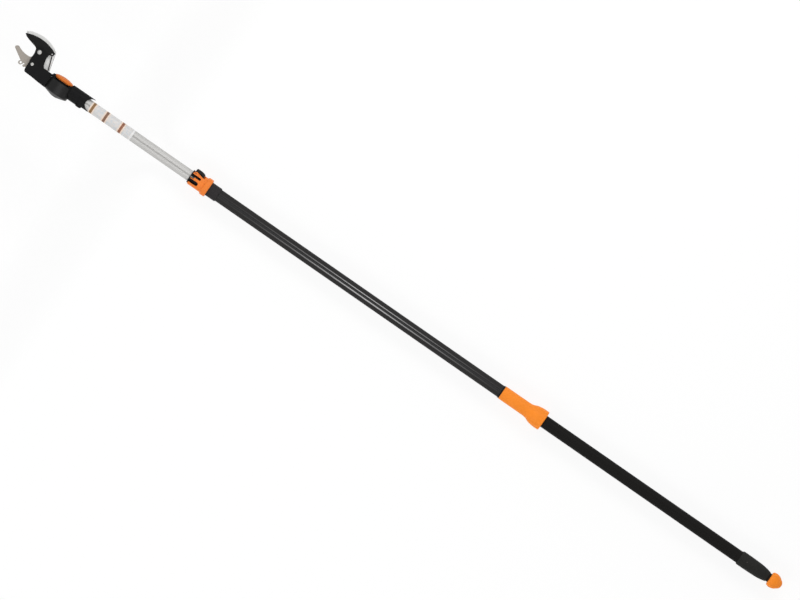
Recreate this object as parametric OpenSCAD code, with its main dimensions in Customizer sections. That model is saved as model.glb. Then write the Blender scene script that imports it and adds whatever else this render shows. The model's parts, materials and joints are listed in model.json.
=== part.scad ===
// Telescopic tree pruner pole, millimetres. X runs along the pole towards the cutting head,
// the blade side is -Y, and +Z is the side with the strap channel. The origin is on the pole's
// axis, half way along the bare stretch between the slide handle and the lock collar.

/* [Pole] */
// Outside diameter of the black outer tube
tube_od = 33.2; // [30:0.2:38]
// Wall of the black outer tube
tube_wall = 1.6; // [1.4:0.1:2]
// Bare length between the slide handle's stop and the ferrule
clip_len = 878; // [700:1:1000]
// Bare length between the slide handle and the butt grip
lower_len = 609; // [500:1:700]
// Width of the strap channel along the outer tube
channel_w = 9; // [7:0.5:11]
// Depth of the strap channel at its middle
channel_depth = 0.9; // [0.8:0.05:1]

/* [Mast] */
// Radial slide gap between the two tubes
slide_gap = 0.3; // [0.2:0.05:0.4]
// Wall of the silver inner tube
mast_wall = 1.5; // [1.2:0.1:1.8]
// Bare length of the silver tube when it is pushed in
mast_show = 309; // [250:1:360]
// Width of the strap groove in the silver tube
groove_w = 3.8; // [3.6:0.1:4.4]
// Depth of the strap groove in the silver tube
groove_depth = 2.6; // [2.4:0.1:2.8]
// Length of the label sleeve on the silver tube
label_len = 132; // [100:1:140]
// How far the mast slides out
mast_travel = 1400; // [1200:10:1450]

/* [Grips] */
// Length of the slide handle
handle_len = 129; // [110:1:145]
// Radius of the slide handle's straight part
handle_r = 18.6; // [18.4:0.1:20]
// Radius of the slide handle's flared end
flare_r = 27; // [24:0.5:30]
// Length of the butt grip
grip_len = 88; // [80:1:100]
// Largest radius of the butt grip
grip_r = 19.4; // [19:0.1:21]
// Radius of the end knob
knob_r = 20.4; // [18:0.1:22]
// Length of the end knob
knob_len = 36.5; // [32:0.5:40]
// How far the end knob pulls out
knob_travel = 110; // [80:5:115]

/* [Lock collar] */
// Length of the black ferrule under the collar
ferrule_len = 29; // [26:0.5:34]
// Radius of the collar's flange
collar_flange_r = 24.5; // [23:0.1:26]
// Radius of the collar's body
collar_r = 21; // [20.6:0.1:22]
// Length of the collar
collar_len = 55; // [52:0.5:60]

/* [Strap] */
// Width of the flat pull strap
strap_w = 3.2; // [2.8:0.1:3.4]
// Thickness of the flat pull strap
strap_t = 0.7; // [0.6:0.05:0.75]
// Diameter of the round cord in the head
cord_d = 2.4; // [2:0.1:2.5]

/* [Tilt joint] */
// Radius of the tilt hub
hub_r = 33.7; // [32:0.1:35]
// Depth of the tilt hub along its axis
hub_h = 31.2; // [29:0.2:33]
// Radius of the tilt dial
dial_r = 28.5; // [27:0.5:29]
// Height of the tilt dial
dial_h = 11.2; // [9:0.2:13]
// Radius at which the pole's strap winds on the spool
spool_big_r = 22; // [20:0.5:23]
// Radius at which the lever's cord winds on the spool
spool_small_r = 5; // [4.8:0.05:5.2]

/* [Cutting head] */
// Blade pivot, forward of the tilt axis
pivot_x = 92; // [90:0.5:94]
// Blade pivot, towards the blade side of the pole's axis
pivot_y = 39.6; // [39:0.2:40.4]
// Direction from the blade pivot to the lever pivot
pivot_lean = 116.9; // [115:0.1:119]
// Gear module
gear_m = 1.8; // [1.8:0.05:1.85]
// Teeth in the blade's full gear circle
blade_teeth = 16; // [16:1:16]
// Teeth in the lever's full gear circle
lever_teeth = 24; // [24:1:24]
// Swing of the lever
lever_swing = 36; // [30:1:37]
// Thickness of the blade
blade_t = 4; // [3:0.2:4.4]
// Thickness of the counter hook
hook_t = 4.8; // [4:0.2:5.2]
// Thickness of the lever's web
lever_t = 6; // [5:0.2:6.4]
// Thickness of each cheek plate
cheek_t = 3.5; // [3:0.1:4]
// Running gap between the plates
plate_gap = 0.3; // [0.25:0.05:0.4]
// Radius of the lever's rim
rim_r = 88.6; // [87:0.2:90]
// Width of the lever's rim
rim_w = 6.6; // [6:0.2:7.4]

/* [Hidden] */
$fn = 48;
eps = 0.05;
tube_r = tube_od / 2;
bore_r = tube_r - tube_wall;
mast_r = bore_r - slide_gap;
mast_in_r = mast_r - mast_wall;
stop_len = 3.8;
seat_gap = 0.2;

// Places along the pole
ferrule_x = clip_len / 2;
collar_x = ferrule_x + ferrule_len;
collar_end = collar_x + collar_len;
bush_end = collar_end + 3;
stop_x = -clip_len / 2;
handle_end = stop_x - stop_len - seat_gap;
handle_x = handle_end - handle_len;
grip_end = handle_x - lower_len;
nose_x = grip_end - grip_len;
neck_len = 5.1;
knob_face = nose_x - neck_len;
tube_end = collar_x + 2;
tube_start = nose_x + 38;
mouth_x = bush_end + mast_show;
drum_x = mouth_x + 94.5;
mast_end = drum_x - 50;
foot_x = tube_start + 172;

// Strap levels: outside run in the channel, and inside run in the mast's groove
out_z = tube_r - channel_depth + 0.02 + strap_t / 2;
in_z = mast_r - groove_depth / 2 - 0.35;
bar_r = 1.2;
bar_z = tube_r;
bar_x = tube_end + 10;
foot_roller_r = 4.1;
foot_roller_z = in_z - foot_roller_r - 0.05 - strap_t / 2;
mast_strap_z = foot_roller_z - foot_roller_r - 0.05 - strap_t / 2;
roller_x = foot_x - 9;

// Head levels across the plates, front towards +Z
hook_z = -hook_t / 2;
blade_z = hook_t / 2 + plate_gap;
front_z = blade_z + blade_t + plate_gap;
lever_z = -hook_t / 2 - plate_gap - lever_t;
rear_z = lever_z - plate_gap - cheek_t;
lever_mid = lever_z + lever_t / 2;
front_out = front_z + cheek_t;

// Pivots
bp = [pivot_x, -pivot_y];
centre_d = gear_m * (blade_teeth + lever_teeth) / 2;
sp = bp + centre_d * [cos(pivot_lean), sin(pivot_lean)];
rivet = [90, -3.8];
blade_swing = lever_swing * lever_teeth / blade_teeth;
rim_c = [107.2, 10.2];
rim_a0 = -119.1;
rim_a1 = -60.5;
ear = [62.5, -53.6];
anchor = [45.5, -8.4];
roller = [38.9, -6.2];
roller_r = 3;
corner = [56.4, -56.6];
pin_r = 3;
pin_fit = 0.06;

// Tilt joint levels along Y
hub_top = -4.7;
lap_h = 0.9;
lap_r = hub_r - 1.5;
hub_bottom = hub_top + hub_h;
arm_low = hub_top - 0.3;
arm_top = -12.5;
dial_base = arm_top - 0.3;
bolt_r = 2.5;

// The cord taken up by the lever, and the strokes that follow from it
cord_arm = 31;
take_up = cord_arm * lever_swing * PI / 180;
spool_turn = take_up / spool_small_r * 180 / PI;
handle_travel = take_up * spool_big_r / spool_small_r;
echo(blade_swing = blade_swing, spool_turn = spool_turn, handle_travel = handle_travel);
echo(drum_x = drum_x, bp = bp, sp = sp, foot_x = foot_x, knob_face = knob_face, handle_x = handle_x);

function arc(c, r, a0, a1, n) = [for (i = [0 : n]) c + r * [cos(a0 + (a1 - a0) * i / n),
    sin(a0 + (a1 - a0) * i / n)]];
function involute(a) = tan(a) * 180 / PI - a;
function flank(rr, rb, half) = half + involute(20) - involute(acos(min(1, rb / max(rr, rb))));
function tooth(n, m, mid, slack) =
    let (r = m * n / 2, rb = r * cos(20), r0 = r - 1.15 * m, r1 = r + 0.85 * m)
    let (half = 90 / n - slack / r * 90 / PI)
    let (rs = [r0 - 0.4, r0, max(rb, r0) + 0.05, r - 0.4 * m, r, r + 0.45 * m, r1])
    concat(
        [for (q = rs) q * [cos(mid - flank(q, rb, half)), sin(mid - flank(q, rb, half))]],
        [for (i = [6 : -1 : 0]) rs[i] * [cos(mid + flank(rs[i], rb, half)), sin(mid + flank(rs[i], rb,
            half))]]
    );
function unit(v) = v / norm(v);
function ring4(p, n, w) = [
    p + n * strap_t / 2 + w * strap_w / 2,
    p - n * strap_t / 2 + w * strap_w / 2,
    p - n * strap_t / 2 - w * strap_w / 2,
    p + n * strap_t / 2 - w * strap_w / 2
];

// A flat strap through stations of [centre, thickness direction, width direction]
module ribbon(st) {
    k = len(st);
    pts = [for (s = st) each ring4(s[0], s[1], s[2])];
    sides = [for (i = [0 : k - 2]) for (j = [0 : 3])
        each [
            [4 * i + j, 4 * i + (j + 1) % 4, 4 * i + 4 + (j + 1) % 4],
            [4 * i + j, 4 * i + 4 + (j + 1) % 4, 4 * i + 4 + j]
        ]];
    e = 4 * (k - 1);
    polyhedron(pts, concat(sides, [[2, 1, 0], [3, 2, 0], [e, e + 1, e + 2], [e, e + 2, e + 3]]));
}

module along_x(x) {
    translate([x, 0, 0]) rotate([0, 90, 0]) children();
}

module at_drum(y) {
    translate([drum_x, y, 0]) rotate([-90, 0, 0]) children();
}

module plate(z, t) {
    translate([drum_x, 0, z]) linear_extrude(t) children();
}

module head_cyl(p, z0, z1, r) {
    translate([drum_x + p[0], p[1], z0]) cylinder(r = r, h = z1 - z0);
}

// Smooth curve through points, with n steps between each two
function smooth(p, n) = concat(
    [for (i = [0 : len(p) - 2], k = [0 : n - 1])
        let (a = p[max(i - 1, 0)], b = p[i], c = p[i + 1], d = p[min(i + 2, len(p) - 1)], t = k / n)
        b + (c - a) * t / 2 + (2 * a - 5 * b + 4 * c - d) * t * t / 2 + (3 * b - a - 3 * c + d) * t * t * t / 2],
    [p[len(p) - 1]]
);

module revolve_x(points) {
    rotate([0, 90, 0]) rotate_extrude($fn = 64) polygon(points);
}

// Pole

module outer_tube() color([0.07, 0.07, 0.07]) difference() {
    along_x(tube_start) cylinder(r = tube_r, h = tube_end - tube_start);
    along_x(tube_start - 1) cylinder(r = bore_r, h = tube_end - tube_start + 2);
    // the strap channel runs from inside the slide handle to the collar
    translate([handle_x + 4, -channel_w / 2, tube_r - channel_depth])
        cube([tube_end - handle_x, channel_w, 5]);
    // notch for the strap where it turns into the tube
    translate([tube_end - 14, -groove_w / 2 - 0.5, 0]) cube([20, groove_w + 1, 30]);
    // seat of the stop ring
    along_x(stop_x - stop_len) difference() {
        cylinder(r = tube_r + 1, h = stop_len);
        translate([0, 0, -1]) cylinder(r = tube_r - 0.35, h = stop_len + 2);
    }
    // hole for the butt grip's pin
    translate([grip_end - 22, 0, -30]) cylinder(r = 1.5, h = 60);
}

module stop_ring() color([0.05, 0.05, 0.05]) difference() {
    along_x(stop_x - stop_len + 0.05) cylinder(r = tube_r + 1.1, h = stop_len - 0.1);
    along_x(stop_x - stop_len - 1) cylinder(r = tube_r - 0.33, h = stop_len + 2);
    translate([stop_x - 20, -strap_w / 2 - 0.4, 10]) cube([40, strap_w + 0.8, tube_r - 10]);
    translate([stop_x - 20, -channel_w / 2, 10]) cube(
    [40, channel_w, tube_r - channel_depth + strap_t + 0.2 - 10]);
}

module ferrule() color([0.06, 0.06, 0.06]) difference() {
    revolve_x([
        [tube_r + 0.02, ferrule_x], [tube_r + 1.4, ferrule_x], [tube_r + 2.3, ferrule_x + 1.4],
        [tube_r + 2.3, collar_x - 0.05], [tube_r + 0.02, collar_x - 0.05]
    ]);
    // the strap rises through this slot
    translate([ferrule_x - 1, -strap_w / 2 - 0.5, 10]) cube([ferrule_len + 2, strap_w + 1, 18.75 - 10]);
    translate([ferrule_x + 9, 0, 0]) rotate([90, 0, 0]) cylinder(r = 1.5, h = 60, center = true);
}

module ferrule_rivets() color([0.3, 0.3, 0.3]) for (s = [-1, 1]) {
    translate([ferrule_x + 9, 0, 0]) rotate([-90 * s, 0, 0]) {
        translate([0, 0, tube_r + 0.05]) cylinder(r = 1.48, h = 2.1);
    }
}

collar_in = 16.1;
// the clamp lever sits on the blade side, turned towards +Z
clamp_lean = 27;
lever_pin = [collar_x + 48.6, -20.6];
cam_r = 4.1;
ear_w = 7.9;

module at_clamp() {
    rotate([-clamp_lean, 0, 0]) children();
}

module clamp_collar() color([0.93, 0.42, 0.1]) difference() {
    union() {
        revolve_x([
            [collar_in, collar_x], [collar_flange_r - 2.2, collar_x],
            [collar_flange_r - 0.6, collar_x + 0.7],
            [collar_flange_r, collar_x + 2.2], [collar_flange_r, collar_x + 12.5],
            [collar_flange_r - 0.6, collar_x + 14.2], [collar_flange_r - 2, collar_x + 15.2],
            [collar_r, collar_x + 16.4], [collar_r, collar_end - 2.5], [collar_r - 1, collar_end],
            [collar_in, collar_end]
        ]);
        // ears of the cam lever, the upper one taller
        at_clamp() for (s = [-1, 1]) hull() {
            translate([lever_pin[0] - (s > 0 ? 0.7 : 0), lever_pin[1], s * (ear_w + 1.9) - 1.6])
                cylinder(r = s > 0 ? 4 : 2.9, h = 3.2, $fn = 32);
            translate([lever_pin[0] - 17, -17, s * (ear_w + 1.9) - 1.6])
                cylinder(r = s > 0 ? 3.4 : 2.4, h = 3.2, $fn = 32);
        }
    }
    along_x(collar_x - 1) cylinder(r = tube_r + 0.02, h = 3.2);
    // pocket of the cam lever
    at_clamp() translate([lever_pin[0] - 26, -40, -ear_w]) cube([60, 40 - collar_in + 0.3, 2 * ear_w]);
    at_clamp() translate([lever_pin[0], lever_pin[1], -20]) cylinder(r = 1.4, h = 40);
    // turning pocket and bar hole of the strap
    translate([collar_x - 1, -strap_w / 2 - 0.6, 10]) cube([19, strap_w + 1.2, 9.4]);
    translate([bar_x, 0, bar_z]) rotate([90, 0, 0]) cylinder(r = bar_r, h = 16.4, center = true);
    // the far finger stops at its ear, so only the lever shows there
    at_clamp() translate([lever_pin[0] + 3.4, -40, -40]) cube([20, 30, 40 - ear_w + 0.02]);
    // windows between the fingers
    translate([collar_end - 22.8, -9.2, 0]) cube([13.8, 6.4, 40]);
    translate([collar_end - 22.8, -6, 0]) cylinder(r = 3.2, h = 40);
    translate([collar_end - 21.1, 4.2, 0]) cube([22.1, 9.8, 40]);
    translate([collar_end - 21.1, 9.1, 0]) cylinder(r = 4.9, h = 40);
    translate([collar_end - 9, -9.2, 0]) cube([12, 11.6, 40]);
    translate([collar_end - 26, -6, -40]) cube([27, 12, 30]);
}

module strap_bar() color([0.75, 0.75, 0.76])
    translate([bar_x, 0, bar_z]) rotate([90, 0, 0]) cylinder(r = bar_r, h = 16, center = true);

module split_bush() color([0.05, 0.05, 0.05]) difference() {
    union() {
        along_x(collar_end - 34) cylinder(r = collar_in - 0.02, h = 37);
        along_x(collar_end + 0.05) cylinder(r = 18.4, h = bush_end - collar_end - 0.05);
    }
    along_x(collar_end - 36) cylinder(r = mast_r + 0.08, h = 60);
    // the slit lines up with the mast's groove
    translate([collar_end - 36, -1.2, 0]) cube([60, 2.4, 40]);
    // the flange stops at the cam lever
    at_clamp() translate([collar_end - 5, -40, -9.2]) cube([20, 40 - 16.05, 18.4]);
}

module lever_pin_steel() color([0.25, 0.2, 0.18])
    at_clamp() translate([lever_pin[0], lever_pin[1], -ear_w - 4]) cylinder(r = 1.38, h = 2 * ear_w + 8);

module cam_lever() color([0.05, 0.05, 0.05]) at_clamp() difference() {
    union() {
        translate([lever_pin[0], lever_pin[1], -ear_w + 0.3]) cylinder(r = cam_r, h = 2 * ear_w - 0.6);
        translate([lever_pin[0], lever_pin[1], -ear_w + 0.3]) linear_extrude(2 * ear_w - 0.6) polygon([
            [4.05, -0.4], [4.25, -1.4], [4.1, -3.2], [3.2, -4.5], [1.6, -5.1], [-1.5, -5.4], [-6, -5.4],
            [-10.5, -5.1], [-15, -4.4], [-19, -3.1], [-21.4, -1.8], [-22.2, -0.6],
            [-14, -1.1], [-7, -1], [-3.6, 1.4], [0, 2]
        ]);
    }
    translate([lever_pin[0], lever_pin[1], -30]) cylinder(r = 1.4 + pin_fit, h = 60);
}

// Butt grip and end knob

module butt_grip() color([0.1, 0.1, 0.1]) difference() {
    revolve_x(concat(
        [[0, nose_x], [12.6, nose_x]],
        smooth([
            [13.5, nose_x + 0.8], [14.4, nose_x + 4], [16.8, nose_x + 15.4], [18.4, nose_x + 30.4],
            [grip_r - 0.2, nose_x + 56], [grip_r, nose_x + 76]
        ], 4),
        [[grip_r - 0.1, grip_end - 3], [grip_r - 0.8, grip_end - 1], [grip_r - 1.8, grip_end], [0, grip_end]]
    ));
    along_x(tube_start) cylinder(r = tube_r + 0.02, h = 200);
    // bore of the knob's cord and seat of its spigot
    along_x(nose_x - 1) cylinder(r = 2, h = 100);
    along_x(nose_x - 1) cylinder(r = 7.1, h = 15);
    translate([grip_end - 22, 0, -30]) cylinder(r = 1.5, h = 60);
}

module grip_pin() color([0.3, 0.3, 0.3]) translate([grip_end - 22, 0, 0]) for (s = [0, 180])
    rotate([s, 0, 0]) translate([0, 0, bore_r]) cylinder(r = 1.48, h = grip_r - bore_r - 0.4);

module end_knob() color([0.88, 0.42, 0.12]) difference() {
    union() {
        revolve_x(concat(
            smooth([
                [0, knob_face - knob_len], [5.2, knob_face - knob_len + 1], [9.6, knob_face - knob_len + 3.8],
                [12.9, knob_face - knob_len + 8], [16.2, knob_face - knob_len + 12.4],
                [18.6, knob_face - knob_len + 17], [knob_r - 0.5, knob_face - knob_len + 21.6],
                [knob_r, knob_face - knob_len + 26], [knob_r - 0.6, knob_face - knob_len + 30.4],
                [knob_r - 1.8, knob_face - knob_len + 34], [knob_r - 4, knob_face - 0.7], [13, knob_face]
            ], 4),
            [[0, knob_face]]
        ));
    }
    along_x(knob_face - 8) cylinder(r = 1.5, h = 20);
}

module knob_neck() color([0.06, 0.06, 0.06]) difference() {
    union() {
        along_x(knob_face) cylinder(r = 12, h = neck_len - 0.15);
        along_x(knob_face) cylinder(r = 7, h = neck_len + 12);
    }
    along_x(knob_face - 1) cylinder(r = 1.5, h = 60);
}

module knob_cord() color([0.12, 0.12, 0.12]) union() {
    along_x(knob_face - 7.9) cylinder(r = 1.48, h = tube_start + knob_travel + 6 - knob_face + 7.9);
    along_x(tube_start + knob_travel + 1) cylinder(r = 5, h = 5);
}

// Slide handle

module slide_handle() color([0.94, 0.45, 0.1]) difference() {
    revolve_x(concat(
        [[tube_r + 0.3, handle_x], [flare_r - 2, handle_x], [flare_r - 0.6, handle_x + 0.7]],
        smooth([
            [flare_r, handle_x + 2.4], [flare_r, handle_x + 17], [flare_r - 0.7, handle_x + 23],
            [flare_r - 2.5, handle_x + 33], [flare_r - 4.8, handle_x + 38.5], [handle_r + 1.8, handle_x + 43],
            [handle_r + 0.6, handle_x + 48], [handle_r, handle_x + 56]
        ], 4),
        [[handle_r, handle_end - 1], [handle_r - 0.7, handle_end], [tube_r + 0.3, handle_end]]
    ));
    // seat of the strap clamp, in the upper end
    translate([handle_end - 13, -4, 10]) cube([9, 8, 7.35]);
}

module strap_clamp() color([0.5, 0.5, 0.5])
    translate([handle_end - 12.8, -3.6, out_z + strap_t / 2]) cube([8.6, 7.2, 17.33 - out_z - strap_t / 2]);

// Strap

module strap_drive() color([0.1, 0.1, 0.1])
    ribbon([
        [[handle_end - 12.8, 0, out_z], [0, 0, 1], [0, 1, 0]],
        [[ferrule_x - 0.1, 0, out_z], [0, 0, 1], [0, 1, 0]]
    ]);

turn_r = bar_r + 0.06 + strap_t / 2;
module strap_turn() color([0.1, 0.1, 0.1]) ribbon(concat(
    [[[ferrule_x, 0, out_z], [0, 0, 1], [0, 1, 0]], [[ferrule_x + 4, 0, out_z], [0, 0, 1], [0, 1, 0]]],
    [for (i = [0 : 8]) let (a = 90 - 22.5 * i)
        [[bar_x + turn_r * cos(a), 0, bar_z + turn_r * sin(a)], [cos(a), 0, sin(a)], [0, 1, 0]]],
    [[[ferrule_x + 14, 0, in_z], [0, 0, -1], [0, 1, 0]]],
    [[[ferrule_x + 0.1, 0, in_z], [0, 0, -1], [0, 1, 0]]]
));

module strap_groove() color([0.1, 0.1, 0.1])
    ribbon([
        [[roller_x + 0.1, 0, in_z], [0, 0, 1], [0, 1, 0]],
        [[ferrule_x, 0, in_z], [0, 0, 1], [0, 1, 0]]
    ]);

spool_mid_y = (arm_top + arm_low) / 2 - 0.5;
foot_turn_r = foot_roller_r + 0.05 + strap_t / 2;
guide = [-52, -3];
guide_a = atan2(guide[1], guide[0]);
tangent_a = guide_a + acos(spool_big_r / norm(guide));
module strap_mast() color([0.1, 0.1, 0.1]) ribbon(concat(
    [for (i = [0 : 10]) let (a = 90 + 18 * i)
        [[roller_x + foot_turn_r * cos(a), 0, foot_roller_z + foot_turn_r * sin(a)], [cos(a), 0, sin(a)],
            [0, 1, 0]]],
    [
        [[roller_x + 30, 0, mast_strap_z], [0, 0, -1], [0, 1, 0]],
        [[drum_x + guide[0] - 60, spool_mid_y, guide[1]], [0, 0, -1], [0, 1, 0]],
        [[drum_x + guide[0], spool_mid_y, guide[1]], [0, 0, -1], [0, 1, 0]],
        [[drum_x + spool_big_r * cos(tangent_a) - 0.2, spool_mid_y, spool_big_r * sin(tangent_a)],
            [cos(tangent_a), 0, sin(tangent_a)], [0, 1, 0]]
    ]
));

// Round cord in the head, from the spool's small drum round the roller to the lever's rim
cord_r = cord_d / 2;
small_y = -1.7;
roller_turn_r = roller_r + 0.06 + cord_r;
out_dir = unit(corner - (roller + [roller_turn_r, 0]));
leave_a = atan2(out_dir[1], out_dir[0]) + 90;
span_from = roller + roller_turn_r * [cos(leave_a), sin(leave_a)];
rim_cord_r = rim_r - cord_r - 0.2;
function on_head(p) = [drum_x + p[0], p[1], lever_mid];

module cord_head() color([0.8, 0.8, 0.78]) tube(concat(
    [[drum_x + 0.2, small_y, -spool_small_r]],
    [for (i = [0 : 6]) on_head(roller + roller_turn_r * [cos(90 + (leave_a - 90) * i / 6),
        sin(90 + (leave_a - 90) * i / 6)])]
), cord_r, [0, 0, 1], 12);

module cord_span() color([0.8, 0.8, 0.78])
    tube([on_head(span_from + 0.1 * out_dir), on_head(corner - 0.8 * out_dir)], cord_r, [0, 0, 1], 12);

module cord_rim() color([0.8, 0.8, 0.78]) tube(concat(
    [on_head(corner), on_head(corner + [2, -5.4])],
    [for (i = [0 : 14]) let (a = rim_a0 + 1 + (rim_a1 - 4 - rim_a0) * i / 14)
        on_head(rim_c + rim_cord_r * [cos(a), sin(a)])]
), cord_r, [0, 0, 1], 12);

// Mast

module inner_tube() color([0.78, 0.78, 0.8]) difference() {
    along_x(foot_x) cylinder(r = mast_r, h = mast_end - foot_x);
    difference() {
        along_x(foot_x - 1) cylinder(r = mast_in_r, h = mast_end - foot_x + 2);
        translate([foot_x - 2, -groove_w / 2 - mast_wall, mast_r - groove_depth - mast_wall])
            cube([mast_end - foot_x + 4, groove_w + 2 * mast_wall, 20]);
    }
    translate([foot_x - 1, -groove_w / 2, mast_r - groove_depth]) cube(
    [mast_end - foot_x + 2, groove_w, 20]);
    // cross hole of the socket's screw
    translate([drum_x - 66, 0, 0]) rotate([-90, 0, 0]) cylinder(r = 2.1, h = 40);
    // rivet holes of the foot plug
    translate([foot_x + 12, 0, 0]) rotate([90, 0, 0]) cylinder(r = 1.6, h = 60, center = true);
}

module tube_label() color([0.85, 0.86, 0.87]) difference() {
    along_x(mouth_x - label_len + 2) cylinder(r = mast_r + 0.25, h = label_len);
    along_x(mouth_x - label_len) cylinder(r = mast_r + 0.03, h = label_len + 40);
}

module mast_foot() color([0.08, 0.08, 0.08]) difference() {
    union() {
        along_x(roller_x - 7) cylinder(r = mast_r - 0.05, h = foot_x - roller_x + 7 - 0.05);
        difference() {
            along_x(foot_x - 0.1) cylinder(r = mast_in_r - 0.12, h = 26);
            translate(
            [foot_x - 1, -groove_w / 2 - mast_wall - 0.12, mast_r - groove_depth - mast_wall - 0.12])
                cube([60, groove_w + 2 * mast_wall + 0.24, 20]);
        }
    }
    // slot of the roller and strap
    translate([roller_x - 20, -strap_w / 2 - 0.5, mast_strap_z - strap_t]) cube([100, strap_w + 1, 40]);
    translate([roller_x, 0, foot_roller_z]) rotate([90, 0, 0]) cylinder(r = 1.5, h = 17, center = true);
    // eye of the knob's cord
    translate([foot_x + 12, 0, 0]) rotate([90, 0, 0]) cylinder(r = 1.6, h = 60, center = true);
}

module foot_rivets() color([0.6, 0.6, 0.6]) for (s = [-1, 1])
    translate([foot_x + 12, 0, 0]) rotate([-90 * s, 0, 0]) translate([0, 0, 8]) cylinder(r = 1.58,
        h = mast_r - 8.1);

module foot_roller() color([0.7, 0.7, 0.7]) difference() {
    translate([roller_x, 0, foot_roller_z]) rotate([90, 0, 0]) cylinder(r = foot_roller_r,
        h = strap_w + 0.6, center = true);
    translate([roller_x, 0, foot_roller_z]) rotate([90, 0, 0]) cylinder(r = 1.52, h = 30, center = true);
}

module foot_axle() color([0.8, 0.8, 0.8])
    translate([roller_x, 0, foot_roller_z]) rotate([90, 0, 0]) cylinder(r = 1.48, h = 16.8, center = true);

sock_y = -2.8;
sock_r = 18.4;
lip_in = 27;
lip_top = -17.4;
module head_socket() color([0.06, 0.06, 0.06]) difference() {
    union() {
        translate([mouth_x, sock_y, 0]) rotate([0, 90, 0]) cylinder(r = sock_r, h = 62);
        translate([drum_x - 58, -1.2, 0]) rotate([0, 90, 0]) cylinder(r = 19.8, h = 33);
        // boss of the clamp screw
        translate([drum_x - 66, 0, 0]) rotate([-90, 0, 0]) rotate_extrude($fn = 48) polygon([
            [0, 0], [14, 0], [8.9, 15.6], [8, 18.2], [6.8, 19.6], [5.2, 20.4], [0, 20.4]
        ]);
        // arm disc with its raised fore lip
        at_drum(arm_top) cylinder(r = hub_r + 0.3, h = arm_low - arm_top);
        intersection() {
            at_drum(lip_top) cylinder(r1 = hub_r - 2.2, r2 = hub_r + 0.3, h = arm_top + 0.6 - lip_top);
            translate([drum_x + 22, -50, -17]) cube([40, 60, 34]);
        }
    }
    // bore of the mast, wider at the mouth for the label
    along_x(mouth_x - 1) cylinder(r = mast_r + 0.03, h = mast_end - mouth_x + 1);
    along_x(mouth_x - 1) cylinder(r = mast_r + 0.35, h = 20);
    along_x(mouth_x + 2) cylinder(r = mast_in_r - 1, h = 60);
    // scalloped mouth
    translate([mouth_x, sock_y, -40]) cylinder(r = 17, h = 80);
    // room for the tilt hub under the arm, and for the spool and dial above it
    at_drum(arm_low) cylinder(r = hub_r + 0.6, h = 60);
    // step over the hub's raised rim
    at_drum(arm_low - lap_h) difference() {
        cylinder(r = hub_r + 0.6, h = lap_h + 1);
        translate([0, 0, -1]) cylinder(r = lap_r - 0.3, h = lap_h + 3);
    }
    at_drum(-60) cylinder(r = lip_in, h = 60 + arm_low - 1.5);
    at_drum(-70) cylinder(r = dial_r + 0.4, h = 70 + arm_top);
    at_drum(-20) cylinder(r = 8, h = 40);
    // open sides between the fore and aft lips
    for (s = [-1, 1]) translate([drum_x - 21, arm_top - 1, s * 40 - 25]) cube([42,
        arm_low - arm_top - 1.2, 50]);
    // passage of the strap from the mast to the spool
    translate([drum_x - 54, spool_mid_y, guide[1] + 1]) rotate([0, 22, 0])
        translate([0, -strap_w / 2 - 0.5, -2.4]) cube([46, strap_w + 1, 4.8]);
    translate([drum_x - 66, 0, 0]) rotate([-90, 0, 0]) cylinder(r = 2.1, h = 40);
    translate([drum_x - 66, 18.4, 0]) rotate([-90, 0, 0]) cylinder(r = 4, h = 40);
}

module socket_screw() color([0.6, 0.6, 0.6]) translate([drum_x - 66, 0, 0]) rotate([-90, 0, 0])
    difference() {
    union() {
        translate([0, 0, mast_in_r]) cylinder(r = 2.08, h = 18.4 - mast_in_r);
        translate([0, 0, 18.4]) cylinder(r = 3.9, h = 1.8);
    }
    translate([0, 0, 19.2]) cylinder(r = 1.6, h = 4, $fn = 6);
}

// Spool, dial and bolt

module strap_spool() color([0.12, 0.12, 0.12]) at_drum(0) rotate_extrude($fn = 64) polygon([
    [bolt_r + 0.06, arm_top + 0.2], [24.4, arm_top + 0.2], [24.4, spool_mid_y - strap_w / 2 - 0.25],
    [spool_big_r - strap_t / 2 - 0.1, spool_mid_y - strap_w / 2 - 0.25],
    [spool_big_r - strap_t / 2 - 0.1, spool_mid_y + strap_w / 2 + 0.25],
    [24.4, spool_mid_y + strap_w / 2 + 0.25], [24.4, arm_low - 1.8], [7.6, arm_low - 1.8],
    [7.6, small_y - cord_r - 0.3], [spool_small_r - cord_r - 0.1, small_y - cord_r - 0.3],
    [spool_small_r - cord_r - 0.1, small_y + cord_r + 0.3], [7.6, small_y + cord_r + 0.3], [7.6, 2.2],
    [bolt_r + 0.06, 2.2]
]);

module tilt_dial() color([0.94, 0.45, 0.1]) difference() {
    at_drum(0) rotate_extrude($fn = 64) polygon(concat(
        [[0, dial_base], [24.9, dial_base], [24.9, dial_base + 1.5], [26.6, dial_base + 1.5],
        [26.6, dial_base]],
        [[dial_r - 1.2, dial_base], [dial_r, dial_base - 1.2], [dial_r, dial_base - 3]],
        [for (i = [1 : 9]) [dial_r * cos(10 * i), dial_base - 3 - (dial_h - 3) * sin(10 * i)]]
    ));
    at_drum(dial_base - 5) cylinder(r = 4.6, h = 6, $fn = 6);
    at_drum(dial_base - 7) cylinder(r = bolt_r + 0.06, h = 10);
    // finger flutes round the rim
    for (k = [0 : 17]) at_drum(dial_base - 9) rotate([0, 0, 20 * k + 10]) translate([dial_r + 1.5, 0, 0])
        cylinder(r = 2.3, h = 8.2);
}

module tilt_nut() color([0.75, 0.75, 0.75]) difference() {
    at_drum(dial_base - 4.9) cylinder(r = 4.55, h = 4.7, $fn = 6);
    at_drum(dial_base - 6) cylinder(r = bolt_r + 0.06, h = 10);
}

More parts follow.
